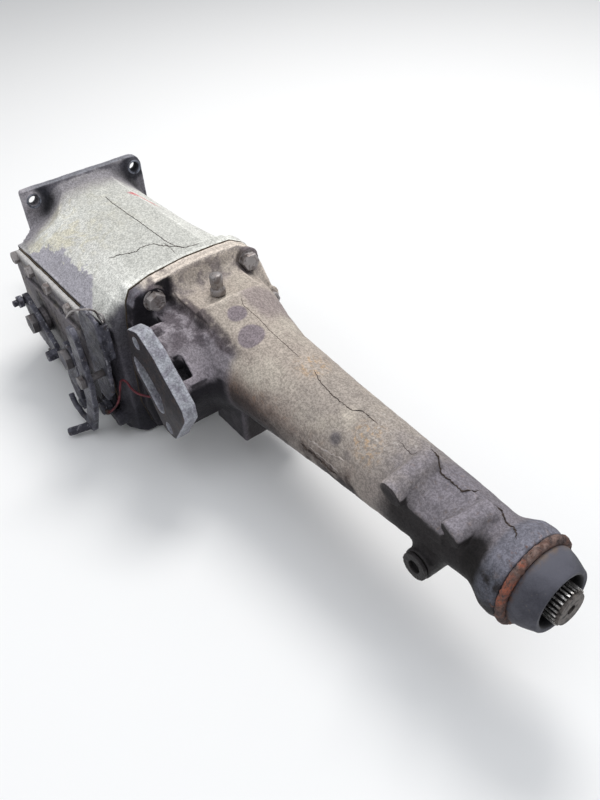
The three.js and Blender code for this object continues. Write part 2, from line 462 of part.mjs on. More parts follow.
// ---- linkage bracket and idler lever behind the cover ---------------------------------------------------
const BRACKET_IN = COVER_OUT + GAP;
add("linkage_bracket", cut(join(
  prismY([[224, -66], [244, -66], [262, -44], [272, 0], [270, 50], [236, 54], [224, 38]],
    BRACKET_IN, BRACKET_IN + 5),
  block(266, 271, BRACKET_IN - 8, BRACKET_IN + 2, 2, 44)),
  barY(254, -20, BRACKET_IN - 2, BRACKET_IN + 8, 4.35, 10)), LEVER_STEEL);
add("idler_pin", join(barY(254, -20, BRACKET_IN - 3, BRACKET_IN + 30, 4, 10),
  barY(254, -20, BRACKET_IN + 27.5 + GAP, BRACKET_IN + 33, 8, 6)), BOLT_STEEL);
const HOOK = [[230, 96], [203, 101], [184, 98], [177, 85]].map(([s, down]) => [s, BRACKET_IN + 25.5, -down]);
add("idler_lever", cut(join(
  prismY(rounded([[246, 50, 7], [264, 44, 7], [268, -20, 9], [256, -62, 9], [228, -112, 7], [214, -104, 7],
    [240, -54, 9], [244, -20, 9]], 2), BRACKET_IN + 21.5, BRACKET_IN + 27.5),
  rod(v3(222, BRACKET_IN + 25, -104), v3(209, BRACKET_IN + 49, -110), 5, 8),
  ...HOOK.slice(1).map((end, i) => rod(v3(...HOOK[i]), v3(...end), 3.5, 8))),
  barY(254, -20, BRACKET_IN + 15, BRACKET_IN + 30, 4.35, 10)), LEVER_STEEL);

// The row's origin is under the middle of the whole part, at floor level.
group.position.set(ROW_ORIGIN.s, -ROW_ORIGIN.y, -ROW_ORIGIN.z);
export default group;
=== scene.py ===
"""Looks for the manual transmission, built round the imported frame.

Places are given round the main shaft, in millimetres: the distance behind the case's front face,
then left, then up. at() turns such a place into the frame's metres.
"""

import json
import math
import random

import bmesh
import bpy
import numpy
from mathutils import Matrix, Vector
from mathutils.bvhtree import BVHTree


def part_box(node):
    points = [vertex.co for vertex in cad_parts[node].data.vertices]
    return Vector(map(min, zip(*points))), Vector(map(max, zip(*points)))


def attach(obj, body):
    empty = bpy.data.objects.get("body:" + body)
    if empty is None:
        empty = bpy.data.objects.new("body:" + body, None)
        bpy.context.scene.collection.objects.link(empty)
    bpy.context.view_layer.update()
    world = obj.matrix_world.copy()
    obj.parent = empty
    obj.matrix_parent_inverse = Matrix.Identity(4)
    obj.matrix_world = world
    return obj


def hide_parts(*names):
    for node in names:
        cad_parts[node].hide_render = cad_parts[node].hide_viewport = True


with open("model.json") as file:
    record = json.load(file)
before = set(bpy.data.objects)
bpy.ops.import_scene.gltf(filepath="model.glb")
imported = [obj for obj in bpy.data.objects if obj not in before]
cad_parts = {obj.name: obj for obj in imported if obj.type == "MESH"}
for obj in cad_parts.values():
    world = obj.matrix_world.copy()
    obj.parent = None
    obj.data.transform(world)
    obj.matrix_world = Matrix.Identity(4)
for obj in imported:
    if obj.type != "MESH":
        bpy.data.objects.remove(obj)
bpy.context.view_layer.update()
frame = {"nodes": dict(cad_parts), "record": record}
NODES = frame["nodes"]
RECORD = frame["record"]
JOINTS = {joint["name"]: joint for joint in RECORD["behaviour"]["joints"]}
BODY_OF = {node: body for body, nodes in RECORD["behaviour"]["bodies"].items() for node in nodes}
SLOT_OF = {entry["node"]: entry["material_slot"] for entry in RECORD["subparts"]}
SHAFT = Vector(JOINTS["input_spin"]["pos_m"])
MM = 0.001
REARWARD = (-1, 0, 0)
REAR_LOOK_FROM = 405  # the station where the extension changes from its front finish to its rear one
FLANGE_HOLES = ((70.5, 75), (-65, 75), (70.5, -91), (-65, -91))  # left and up
bpy.context.scene.view_settings.view_transform = "Standard"


def at(station, left, up):
    return SHAFT + Vector((-station, left, up)) * MM


def srgb(red, green, blue):
    """A colour from its 0 to 255 screen values."""
    linear = (((c / 255 + 0.055) / 1.055) ** 2.4 if c > 10 else c / 3295 for c in (red, green, blue))
    return (*linear, 1)


# ---- camera, light and floor -----------------------------------------------------------------
def look_from(target, azimuth, elevation, distance, roll, lens):
    turn, rise, tilt = (math.radians(angle) for angle in (azimuth, elevation, roll))
    back = Vector((math.sin(turn) * math.cos(rise), -math.cos(turn) * math.cos(rise), math.sin(rise)))
    level = Vector((math.cos(turn), math.sin(turn), 0))
    right = level * math.cos(tilt) + back.cross(level) * math.sin(tilt)
    data = bpy.data.cameras.new("camera")
    data.lens = lens
    data.sensor_width = 36
    camera = bpy.data.objects.new("camera", data)
    bpy.context.scene.collection.objects.link(camera)
    axes = Matrix((right, back.cross(right), back)).transposed().to_4x4()
    camera.matrix_world = Matrix.Translation(target + back * distance) @ axes
    bpy.context.scene.camera = camera


def area_light(name, place, aim, size, watts, color=(1, 1, 1)):
    data = bpy.data.lights.new(name, "AREA")
    data.size = size
    data.energy = watts
    data.color = color
    light = bpy.data.objects.new(name, data)
    bpy.context.scene.collection.objects.link(light)
    light.location = place
    light.rotation_euler = (Vector(aim) - Vector(place)).to_track_quat("-Z", "Y").to_euler()


def studio():
    look_from(at(448.3, 4.9, 0), azimuth=236, elevation=40.1, distance=0.734, roll=-5, lens=35)
    middle = (0, 0, 0.1)
    area_light("key", (0.5, -0.9, 1.9), middle, 0.8, 25, (1, 0.985, 0.96))
    area_light("sky", (-0.7, 0.1, 2.3), middle, 1.8, 14, (0.93, 0.96, 1))
    area_light("rear", (-1.9, -0.6, 0.9), middle, 1.2, 4, (0.95, 0.97, 1))
    area_light("left", (0, 1.5, 1.5), middle, 1.2, 5, (0.95, 0.97, 1))
    world = bpy.data.worlds.new("studio")
    bpy.context.scene.world = world
    world.use_nodes = True
    backdrop = world.node_tree.nodes["Background"]
    backdrop.inputs["Color"].default_value = (0.95, 0.97, 1, 1)
    backdrop.inputs["Strength"].default_value = 0.48


# ---- materials -------------------------------------------------------------------------------
class Finish:
    """A procedural material, painted in layers over a base colour, in the object's own coordinates."""

    def __init__(self, name, colour, roughness=0.8, metallic=0.0):
        self.material = bpy.data.materials.new(name)
        self.material.use_nodes = True
        self.tree = self.material.node_tree
        self.shader = self.tree.nodes["Principled BSDF"]
        self.shader.inputs["Metallic"].default_value = metallic
        self.shader.inputs["Specular IOR Level"].default_value = 0.25
        self.place = self.tree.nodes.new("ShaderNodeTexCoord").outputs["Object"]
        self.axes = self.node("ShaderNodeSeparateXYZ", Vector=self.place).outputs
        self.facing = self.node(
            "ShaderNodeSeparateXYZ", Vector=self.tree.nodes.new("ShaderNodeNewGeometry").outputs["Normal"]
        ).outputs
        self.colour = colour
        self.roughness = roughness
        self.heights = []
        self.seed = len(bpy.data.materials) * 3.7

    def node(self, kind, settings=None, **sockets):
        made = self.tree.nodes.new(kind)
        for key, value in (settings or {}).items():
            setattr(made, key, value)
        for key, value in sockets.items():
            self.feed(made.inputs[key.replace("_", " ")], value)
        return made

    def feed(self, socket, value):
        if isinstance(value, bpy.types.NodeSocket):
            self.tree.links.new(value, socket)
        else:
            socket.default_value = value

    def maths(self, operation, first, second=0.0):
        made = self.node("ShaderNodeMath", {"operation": operation})
        self.feed(made.inputs[0], first)
        self.feed(made.inputs[1], second)
        return made.outputs[0]

    def noise(self, grain, detail=4, roughness=0.6, warp=0.0):
        """Noise from 0 to 1 whose features are about grain mm across."""
        self.seed += 1.3
        moved = self.node("ShaderNodeVectorMath", {"operation": "ADD"})
        self.feed(moved.inputs[0], self.place)
        moved.inputs[1].default_value = (self.seed, self.seed * 0.7, 0)
        return self.node("ShaderNodeTexNoise", Vector=moved.outputs[0], Scale=1000 / grain, Detail=detail,
                         Roughness=roughness, Distortion=warp).outputs["Fac"]

    def speckle(self, grain):
        return self.node("ShaderNodeTexVoronoi", Vector=self.place, Scale=1000 / grain).outputs["Distance"]

    def step(self, value, low, high):
        """0 below low, 1 above high, smooth between; the other way round when low is above high."""
        made = self.node("ShaderNodeMapRange", {"interpolation_type": "SMOOTHSTEP"}, Value=value)
        made.inputs["From Min"].default_value = low
        made.inputs["From Max"].default_value = high
        return made.outputs[0]

    def both(self, *masks):
        total = masks[0]
        for mask in masks[1:]:
            total = self.maths("MULTIPLY", total, mask)
        return total

    def either(self, *masks):
        total = masks[0]
        for mask in masks[1:]:
            total = self.maths("MAXIMUM", total, mask)
        return total

    def measure(self, axis, wobble=0.0, grain=25):
        """The distance behind the front face, to the left or up, in mm, made uneven by wobble mm."""
        index = "station left up".split().index(axis)
        value = self.maths("SUBTRACT", self.axes[index], SHAFT[index])
        value = self.maths("MULTIPLY", value, -1000 if index == 0 else 1000)
        if wobble:
            uneven = self.maths("SUBTRACT", self.noise(grain, 5, 0.65), 0.5)
            value = self.maths("ADD", value, self.maths("MULTIPLY", uneven, 4 * wobble))
        return value

    def zone(self, axis, start, end, wobble=0.0, grain=25):
        """0 at start and 1 at end along an axis."""
        return self.step(self.measure(axis, wobble, grain), start, end)

    def patch(self, station, left, up, radius, soft=4, wobble=2.0, grain=12):
        centre = at(station, left, up)
        away = self.node("ShaderNodeVectorMath", {"operation": "DISTANCE"})
        self.feed(away.inputs[0], self.place)
        away.inputs[1].default_value = centre
        span = self.maths("MULTIPLY", away.outputs["Value"], 1000)
        uneven = self.maths("MULTIPLY", self.maths("SUBTRACT", self.noise(grain, 4), 0.5), 4 * wobble)
        return self.step(self.maths("ADD", span, uneven), radius + soft, radius - soft)

    def from_shaft(self):
        """Distance from the shaft's line, in mm."""
        left, up = self.measure("left"), self.measure("up")
        squares = self.maths("MULTIPLY", left, left), self.maths("MULTIPLY", up, up)
        return self.maths("SQRT", self.maths("ADD", *squares))

    def surface(self, name):
        """A mesh's own mark from 0 to 1: the hollows' mark, for dust and painted shade there, or "wear" on
        its edges.
        """
        return self.node("ShaderNodeAttribute", {"attribute_name": name}).outputs["Fac"]

    def paint(self, mask, colour, strength=1.0):
        if strength != 1:
            mask = self.maths("MULTIPLY", mask, strength)
        made = self.node("ShaderNodeMix", {"data_type": "RGBA"})
        self.feed(made.inputs[0], mask)
        self.feed(made.inputs[6], self.colour)
        self.feed(made.inputs[7], colour)
        self.colour = made.outputs[2]
        return self

    def shade(self, value, dark, light):
        """Darkens or lightens the colour as value goes from 0.3 to 0.7."""
        factor = self.node("ShaderNodeMapRange", Value=value)
        for socket, number in (("From Min", 0.3), ("From Max", 0.7), ("To Min", dark), ("To Max", light)):
            factor.inputs[socket].default_value = number
        made = self.node("ShaderNodeHueSaturation", Value=factor.outputs[0], Color=self.colour)
        self.colour = made.outputs[0]
        return self

    def sheen(self, mask, roughness):
        made = self.node("ShaderNodeMix", {"data_type": "FLOAT"})
        self.feed(made.inputs[0], mask)
        self.feed(made.inputs[2], self.roughness)
        self.feed(made.inputs[3], roughness)
        self.roughness = made.outputs[0]
        return self

    def relief(self, height, depth):
        """Bump of depth mm where height is 1."""
        self.heights.append(self.maths("MULTIPLY", height, depth))
        return self

    def done(self):
        self.feed(self.shader.inputs["Base Color"], self.colour)
        self.feed(self.shader.inputs["Roughness"], self.roughness)
        if self.heights:
            total = self.heights[0]
            for height in self.heights[1:]:
                total = self.maths("ADD", total, height)
            total = self.maths("MULTIPLY", total, MM)
            bump = self.node("ShaderNodeBump", Height=total, Strength=1.0, Distance=1.0)
            self.feed(self.shader.inputs["Normal"], bump.outputs["Normal"])
        return self.material


GRIME_AND_SHADE = srgb(30, 29, 34)
OIL_AND_SHADE = srgb(17, 17, 22)
MUD = srgb(92, 80, 70)
RUST = srgb(150, 84, 46)
DEEP_RUST = srgb(96, 52, 36)


def grain(finish, fine=0.4, coarse=0.6):
    """The pitted, speckled skin of sand-cast iron, dusty and with painted shade in its hollows, and rubbed
    bright on its edges.
    """
    # Dust and painted shade darken the hollows; rubbed edges are lighter.
    finish.shade(finish.surface("dirt_and_shade"), 1, 0.36).shade(finish.surface("wear"), 1, 1.25)
    finish.seed = 500
    finish.shade(finish.step(finish.noise(2.2, 3, 0.85), 0.32, 0.68), 0.74, 1.16)
    finish.shade(finish.noise(7, 3), 0.88, 1.1)
    finish.relief(finish.noise(1.8, 3, 0.7), fine).relief(finish.noise(7, 3), coarse)
    finish.relief(finish.step(finish.speckle(4.5), 0.28, 0.05), -0.3)
    return finish


def case_iron():
    f = Finish("case_iron_cast", srgb(218, 218, 212), 0.86)
    f.paint(f.step(f.noise(60, 5), 0.42, 0.62), srgb(204, 203, 198))
    cream = f.both(f.step(f.noise(32, 6, 0.7, 1.2), 0.44, 0.6), f.zone("station", 215, 120, 10),
                   f.zone("left", -30, 20, 8))
    f.paint(cream, srgb(209, 204, 184), 0.8)
    f.paint(f.step(f.noise(4.5, 4, 0.75), 0.58, 0.74), srgb(158, 150, 138), 0.5)
    # Painted shade: the upward-facing tops are painted darker than the slopes.
    f.paint(f.both(f.step(f.facing[2], 0.88, 0.99), f.zone("left", 66, 50, 6)), srgb(184, 184, 178), 0.7)
    dabs = f.both(f.step(f.noise(7, 5, 0.8, 1.5), 0.58, 0.66), f.patch(112, 42, 70, 26, 8, 4),
                  f.zone("up", 40, 50))
    f.paint(dabs, srgb(112, 106, 98), 0.7)
    # The front end and the flange are greyer, and the slope above the side cover is bare of paint.
    f.paint(f.zone("station", 62, 24, 8, 30), srgb(146, 142, 144), 0.9)
    grey = f.either(f.zone("left", -58, -78, 6, 30),
                    f.both(f.zone("station", 34, 16, 5), f.zone("up", 98, 78, 5)))
    f.paint(grey, srgb(132, 129, 134), 0.85)
    back = f.both(f.zone("station", 13.5, 11.5), f.zone("up", -130, -110))
    f.paint(f.both(back, f.step(f.noise(22, 5), 0.25, 0.6)), srgb(84, 82, 90), 0.9)
    # Painted shade: near-black round the two upper flange holes.
    f.paint(f.either(f.patch(13, 70.5, 75, 23, 5), f.patch(13, -65, 75, 17, 5)), srgb(40, 41, 48), 0.9)
    # Painted shade: the flange's upward-facing top edge is painted darker.
    f.paint(f.both(f.step(f.facing[2], 0.6, 0.9), f.zone("station", 12.5, 11), f.zone("up", 84, 87)),
            srgb(114, 114, 120))
    start = f.maths("ADD", f.measure("station", 22, 14), f.maths("MULTIPLY", f.measure("left"), 1.9))
    finish = f.maths("SUBTRACT", f.measure("station", 4, 8), f.maths("MULTIPLY", f.measure("left"), 1.5))
    bare = f.both(f.step(start, 254, 258), f.step(finish, 72, 66), f.zone("left", 83, 85, 14, 16))
    f.paint(bare, srgb(168, 165, 173), 0.96)
    corner = f.both(f.zone("station", 42, 20, 5), f.zone("left", 56, 76, 5),
                    f.step(f.noise(14, 5), 0.3, 0.55))
    f.paint(corner, srgb(146, 142, 147), 0.9)
    rear = f.maths("SUBTRACT", f.measure("station", 3, 12), f.maths("MULTIPLY", f.measure("up"), 0.55))
    rear = f.step(rear, 222, 236)
    f.paint(f.both(rear, f.zone("left", 74, 86, 4)), srgb(74, 72, 80), 0.95)
    lip = f.both(f.zone("up", 35.5, 34, 0.4), f.zone("left", 98, 101), f.zone("up", 29, 31))
    f.paint(lip, srgb(150, 149, 150), 0.7)
    # Grime and painted shade: near-black on the left-facing wall under the lip.
    side = f.step(f.facing[1], 0.8, 0.95)
    f.paint(f.both(side, f.zone("left", 88, 92), f.zone("up", 36, 32)), GRIME_AND_SHADE)
    # Grime and painted shade: darker low down and on the lower left, darkest at the bottom.
    f.paint(f.zone("up", 24, 0, 8), srgb(86, 82, 82), 0.9)
    f.paint(f.both(f.zone("up", 30, -10, 10), f.zone("left", 60, 84, 6)), srgb(80, 78, 86), 0.9)
    f.paint(f.zone("up", -30, -90, 14), srgb(34, 33, 40), 0.92)
    f.sheen(f.both(f.zone("up", 10, -50, 10), f.zone("left", 40, 80, 10)), 0.5)
    streak = f.maths("ADD", f.measure("station", 1.2, 5), f.maths("MULTIPLY", f.measure("left"), 2.6))
    mark = f.both(f.step(streak, 8, 12), f.step(streak, 26, 22), f.zone("station", 76, 84),
                  f.zone("station", 124, 112), f.step(f.noise(4, 5, 0.8, 1), 0.34, 0.46))
    f.paint(mark, srgb(204, 96, 102), 0.8)
    return grain(f).done()


def tail_base(name):
    """Tan paint worn to iron, darkened down the left side by oil and by painted shade: the extension's front
    and rear share it.
    """
    f = Finish(name, srgb(174, 163, 153), 0.84)
    f.seed = 60
    f.paint(f.step(f.noise(70, 5), 0.4, 0.66), srgb(187, 178, 166))
    f.paint(f.step(f.noise(22, 5, 0.65), 0.48, 0.66), srgb(156, 145, 137), 0.6)
    f.paint(f.step(f.noise(3, 4, 0.7), 0.64, 0.72), srgb(96, 74, 62), 0.35)
    # Oil and painted shade: darker low on the left side, darkest at the bottom.
    height = f.maths("ADD", f.measure("up", 5, 24), f.maths("MULTIPLY", f.measure("station"), 0.02))
    left_side = f.both(f.step(height, 40, 16), f.zone("left", -6, 14, 3))
    f.paint(left_side, srgb(110, 93, 86), 0.9)
    f.paint(f.both(left_side, f.step(f.noise(7, 5, 0.7), 0.52, 0.66)), srgb(128, 100, 80), 0.6)
    f.paint(f.both(f.step(height, 27, 7), f.zone("left", -6, 14, 3)), srgb(52, 45, 45), 0.92)
    f.paint(f.zone("up", -2, -20, 5), srgb(42, 38, 40), 0.95)
    f.sheen(f.zone("up", 4, -24, 8), 0.5)
    return f


def tail_front():
    f = tail_base("tail_iron_front")
    f.paint(f.both(f.zone("station", 300, 270, 6), f.zone("up", 6, 30, 5)), srgb(204, 193, 182), 0.85)
    stain = f.both(f.zone("station", 322, 338, 3), f.zone("station", 386, 366, 5),
                   f.zone("left", -4, -14, 3))
    f.paint(stain, srgb(142, 130, 130), 0.7)
    for station, left, up, radius in ((359, 9, 56, 10), (389, 14, 47, 13.5)):
        f.paint(f.patch(station, left, up, radius, 1.5, 0.6), srgb(124, 114, 122), 0.85)
    # Painted shadow: near-black in the pockets round the two upper bolt seats.
    bolt_pocket_shadow = f.either(f.patch(280, 57.1, 55.1, 16, 2, 0.8), f.patch(280, -57.1, 55.1, 16, 2, 0.8))
    f.paint(f.both(bolt_pocket_shadow, f.zone("station", 277, 278.5)), srgb(50, 42, 43), 0.85)
    f.paint(f.both(f.zone("station", 277.5, 279), f.zone("station", 300, 284, 3), f.zone("up", 30, 44, 4),
                   f.step(f.noise(14, 5), 0.42, 0.58)), srgb(122, 113, 116), 0.7)
    f.paint(f.both(f.zone("station", 296, 277), f.zone("left", 58, 70, 3)), srgb(94, 93, 102), 0.95)
    # The pad's arm: a painted highlight, lit grey on top, and painted shade, black below and behind.
    arm = f.both(f.zone("station", 398, 384, 3), f.zone("left", 30, 38, 2))
    f.paint(f.both(arm, f.zone("up", 50, 44, 2)), srgb(136, 130, 137), 0.92)
    f.paint(f.both(arm, f.step(f.noise(15, 4), 0.42, 0.58), f.zone("up", 28, 36)), srgb(78, 70, 76), 0.75)
    under = f.either(f.step(f.facing[2], 0.45, 0.1), f.zone("up", 12, 2, 3))
    f.paint(f.both(arm, under), srgb(20, 18, 24), 0.96)
    # Painted shadow along the groove beside the ridge.
    ridge_groove_shadow = f.both(f.zone("left", 26, 31, 1), f.zone("left", 43, 38, 1), f.zone("station", 286, 298, 2),
                 f.zone("station", 402, 380, 3), f.zone("up", 32, 36))
    f.paint(f.both(ridge_groove_shadow, f.step(f.noise(10, 5), 0.25, 0.5)), srgb(78, 70, 73), 0.85)
    face = f.both(f.zone("left", 97.5, 99.2), f.zone("station", 288, 290), f.step(f.facing[1], 0.6, 0.9))
    rim = f.both(f.zone("left", 82.5, 84.5), f.zone("station", 289, 290), f.zone("station", 396, 392))
    f.paint(rim, srgb(154, 156, 163), 0.95)
    f.paint(f.both(rim, f.step(f.noise(9, 4), 0.45, 0.6)), srgb(124, 121, 131), 0.7)
    f.paint(face, srgb(36, 32, 36), 0.97)
    f.paint(f.both(face, f.step(f.noise(8, 5), 0.5, 0.62)), srgb(62, 52, 50), 0.7)
    return grain(f, 0.45, 0.7).done()


def tail_rear():
    f = tail_base("tail_iron_rear")
    f.paint(f.both(f.zone("station", 430, 520, 20), f.step(f.noise(40, 4), 0.3, 0.5)),
            srgb(156, 147, 140), 0.8)
    ochre = f.either(f.patch(460, -4, 43, 14, 9), f.patch(556, 15, 35, 13, 9), f.patch(568, 22, 29, 10, 8))
    f.paint(f.both(ochre, f.step(f.noise(5, 5, 0.7), 0.46, 0.64)), srgb(196, 160, 118), 0.65)
    chips = f.both(f.step(f.noise(4, 4, 0.8, 0.6), 0.56, 0.62), f.patch(568, -9, 36, 30, 14))
    f.paint(chips, srgb(206, 200, 194), 0.5)
    f.paint(f.patch(533, 30, 26, 6, 3, 0.8), srgb(88, 84, 90), 0.75)
    f.paint(f.patch(551, 33, 20, 4, 3, 0.8), srgb(104, 96, 98), 0.4)
    # The tail's end is dark and bluish, with painted shadow, black, under its bosses and in its neck.
    end = f.zone("station", 560, 640, 12)
    f.paint(end, srgb(108, 104, 111), 0.86)
    # Painted highlight: the tail end's upward-facing surfaces are painted lighter.
    f.paint(f.both(end, f.step(f.facing[2], 0.6, 0.95), f.step(f.noise(20, 4), 0.3, 0.55)),
            srgb(128, 123, 130), 0.8)
    f.paint(f.both(end, f.step(f.noise(5, 5, 0.7), 0.56, 0.7)), srgb(122, 104, 92), 0.45)
    shadow = f.either(f.zone("up", 25, 17, 2), f.both(f.step(f.facing[2], 0.3, 0.0), f.zone("up", 38, 30, 2)))
    f.paint(f.both(f.zone("station", 585, 612, 5), f.zone("left", 6, 18, 3), shadow), srgb(28, 25, 25), 0.95)
    # Painted shadow in the neck.
    neck = f.both(f.zone("station", 676, 682, 1), f.zone("station", 701, 694, 1), f.zone("left", 4, 16, 2),
                  f.zone("up", 34, 26, 2))
    f.paint(neck, srgb(26, 23, 23), 0.95)
    flare = f.both(f.zone("station", 694, 702, 1), f.step(f.noise(10, 4), 0.3, 0.5))
    f.paint(f.both(flare, f.zone("up", -10, 4, 4)), srgb(78, 79, 87), 0.95)
    f.paint(f.both(flare, f.zone("up", 20, 32, 3)), srgb(118, 117, 127), 0.8)
    f.paint(f.both(f.zone("station", 708, 716, 2), f.step(f.noise(6, 4, 0.75), 0.58, 0.66)),
            srgb(104, 74, 62), 0.7)
    boss_end = f.both(f.zone("station", 600, 606), f.zone("station", 634, 628), f.zone("left", 39.5, 41))
    f.paint(f.both(boss_end, f.step(f.facing[1], 0.55, 0.8)), srgb(38, 34, 36), 0.9)
    return grain(f, 0.45, 0.7).done()


def worn_steel(name, base, dirt_and_shade=0.7, metallic=0.35):
    f = Finish(name, base, 0.55, metallic)
    f.paint(f.step(f.noise(14, 5), 0.42, 0.6), srgb(34, 33, 40), dirt_and_shade)
    f.paint(f.step(f.noise(6, 5, 0.7), 0.56, 0.68), MUD, 0.35)
    f.paint(f.step(f.noise(4, 4, 0.7), 0.56, 0.66), srgb(146, 145, 150), 0.55)
    f.paint(f.step(f.noise(9, 4, 0.7), 0.66, 0.74), DEEP_RUST, 0.5)
    # Dust and painted shade darken the hollows; rubbed edges are lighter.
    f.shade(f.surface("dirt_and_shade"), 1, 0.35).shade(f.surface("wear"), 1, 1.35)
    f.sheen(f.step(f.noise(20, 3), 0.45, 0.6), 0.36)
    return f.relief(f.noise(1.8, 3), 0.35).relief(f.noise(6, 4), 0.9).done()


def cover_steel():
    f = Finish("cover_steel_pressed", srgb(96, 92, 97), 0.62, 0.2)
    f.paint(f.step(f.noise(40, 5), 0.42, 0.6), srgb(110, 105, 107), 0.85)
    f.paint(f.both(f.step(f.noise(24, 5), 0.5, 0.64), f.zone("up", -60, 0, 10)), srgb(128, 122, 98), 0.4)
    f.paint(f.step(f.noise(8, 5, 0.7), 0.5, 0.64), GRIME_AND_SHADE, 0.8)
    # Oil and painted shade: the cover is darker towards the bottom.
    f.paint(f.zone("up", -20, -70, 14), OIL_AND_SHADE, 0.92)
    f.paint(f.zone("station", 190, 226, 10), GRIME_AND_SHADE, 0.9)
    f.paint(f.both(f.zone("up", 22, 31, 1.5), f.zone("station", 236, 226)), srgb(170, 168, 166), 0.8)
    f.paint(f.step(f.noise(4, 4, 0.7), 0.63, 0.72), RUST, 0.4)
    # Dust and painted shade darken the hollows; rubbed edges are lighter.
    f.shade(f.surface("dirt_and_shade"), 1, 0.35).shade(f.surface("wear"), 1, 1.35)
    f.shade(f.noise(2.6, 2, 0.9), 0.78, 1.25)
    f.sheen(f.zone("up", -10, -60, 12), 0.36)
    return f.relief(f.noise(2, 4), 0.35).relief(f.noise(9, 4), 0.9).done()


def bolt_steel():
    f = Finish("bolt_steel_browned", srgb(152, 147, 146), 0.4, 0.5)
    f.paint(f.step(f.noise(9, 5), 0.46, 0.62), srgb(104, 94, 90), 0.8)
    f.paint(f.step(f.noise(4, 4, 0.7), 0.58, 0.68), srgb(70, 60, 58), 0.7)
    f.paint(f.step(f.noise(7, 4, 0.7), 0.62, 0.72), DEEP_RUST, 0.45)
    # Grime and painted shade: the bolts are darker towards the bottom.
    f.paint(f.zone("up", 10, -30), srgb(60, 58, 62), 0.8)
    # Dust and painted shade darken the hollows.
    f.shade(f.surface("dirt_and_shade"), 1, 0.4)
    f.sheen(f.step(f.noise(9, 4), 0.45, 0.6), 0.6)
    return f.relief(f.noise(1.5, 4), 0.2).done()


def gear_steel():
    f = Finish("gear_steel_oiled", srgb(150, 148, 146), 0.3, 0.9)
    f.paint(f.step(f.noise(12, 5), 0.45, 0.65), srgb(112, 106, 100), 0.6)
    # Painted shade in the spline grooves, and painted highlight specks on the crests.
    groove = f.both(f.step(f.from_shaft(), 15.4, 14.5), f.zone("station", 724, 730))
    f.paint(groove, srgb(34, 32, 34), 0.95)
    crest = f.both(f.step(f.from_shaft(), 15.0, 15.5), f.zone("station", 724, 730),
                   f.step(f.noise(2.4, 3, 0.8), 0.5, 0.58))
    f.paint(crest, srgb(236, 234, 232))
    f.sheen(groove, 0.65)
    end = f.both(f.zone("station", 751.5, 753), f.step(f.noise(5, 4), 0.3, 0.6))
    f.paint(end, srgb(122, 116, 112), 0.85)
    return f.relief(f.noise(1.4, 3), 0.08).done()


def bronze():
    f = Finish("bronze_machined", srgb(170, 134, 78), 0.35, 0.9)
    f.paint(f.step(f.noise(8, 5), 0.45, 0.65), srgb(110, 86, 56), 0.6)
    return f.relief(f.noise(1.4, 3), 0.08).done()


def paper():
    f = Finish("gasket_paper", srgb(92, 82, 68), 0.92)
    f.paint(f.step(f.noise(3, 5, 0.7), 0.4, 0.65), srgb(58, 50, 44), 0.8)
    return f.relief(f.noise(0.8, 3), 0.1).done()


def rubber():
    f = Finish("seal_rubber", srgb(60, 60, 68), 0.62)
    f.paint(f.step(f.noise(18, 5), 0.42, 0.64), srgb(76, 76, 84), 0.85)
    f.paint(f.step(f.noise(2.5, 4, 0.7), 0.6, 0.72), srgb(116, 108, 98), 0.4)
    f.shade(f.noise(1.7, 2, 0.9), 0.85, 1.14)
    f.paint(f.both(f.zone("station", 731, 726, 1.5), f.step(f.noise(6, 4), 0.4, 0.6)), srgb(84, 62, 50), 0.8)
    f.paint(f.zone("up", 20, 31, 3), srgb(104, 104, 114), 0.6)
    dust = f.both(f.zone("station", 733, 727, 1.5), f.step(f.noise(5, 4), 0.35, 0.6),
                  f.zone("left", 20, 4, 3))
    f.paint(dust, srgb(110, 96, 86), 0.8)
    # Painted shade: near-black round the bore, next to the shaft.
    f.paint(f.step(f.from_shaft(), 24.5, 23), srgb(16, 16, 18), 0.95)
    return f.relief(f.noise(1.2, 4), 0.15).relief(f.noise(10, 3), 0.3).done()


def ring_rust():
    f = Finish("tail_ring_rust", srgb(82, 70, 68), 0.85)
    f.paint(f.step(f.noise(8, 5, 0.7), 0.44, 0.58), srgb(112, 84, 74), 0.8)
    f.paint(f.step(f.noise(3.5, 4, 0.7), 0.56, 0.66), srgb(46, 38, 38), 0.9)
    f.paint(f.both(f.zone("up", 26, 38, 3), f.step(f.noise(5, 4, 0.7), 0.4, 0.6)), srgb(142, 120, 112), 0.75)
    bloom = f.either(f.patch(719, 31, 19, 9, 4, 3, 6), f.patch(720, 37, 8, 5, 3, 2, 5),
                     f.patch(722, 19, 34, 3, 2, 1, 4))
    f.paint(f.both(bloom, f.step(f.noise(3, 5, 0.75), 0.42, 0.54)), srgb(160, 92, 70), 0.75)
    return f.shade(f.noise(2.2, 2, 0.9), 0.74, 1.22).relief(f.noise(2.2, 5, 0.7), 1.1).done()


# Dust and painted shadow: the flash lines and the lower scar are darker than the iron round them.
def seam_dirt_and_shadow():
    f = Finish("seam_dirt_and_shadow", srgb(84, 74, 68), 0.9)
    return f.paint(f.step(f.noise(5, 4), 0.4, 0.6), srgb(48, 42, 41), 0.8).relief(f.noise(1.2, 3), 0.3).done()


def nylon():
    f = Finish("nylon_natural", srgb(186, 180, 164), 0.5)
    f.paint(f.step(f.noise(6, 4), 0.45, 0.65), srgb(150, 138, 112), 0.5)
    return f.relief(f.noise(1, 2), 0.05).done()


def wire_red():
    f = Finish("wire_insulation", srgb(98, 40, 48), 0.5)
    f.paint(f.step(f.noise(7, 4), 0.46, 0.62), srgb(58, 26, 30), 0.85)
    return f.relief(f.noise(1, 2), 0.05).done()


def floor_paint():
    f = Finish("floor_pale", (0.86, 0.86, 0.86, 1), 0.9)
    return f.paint(f.noise(400, 2), (0.88, 0.88, 0.875, 1), 0.5).done()


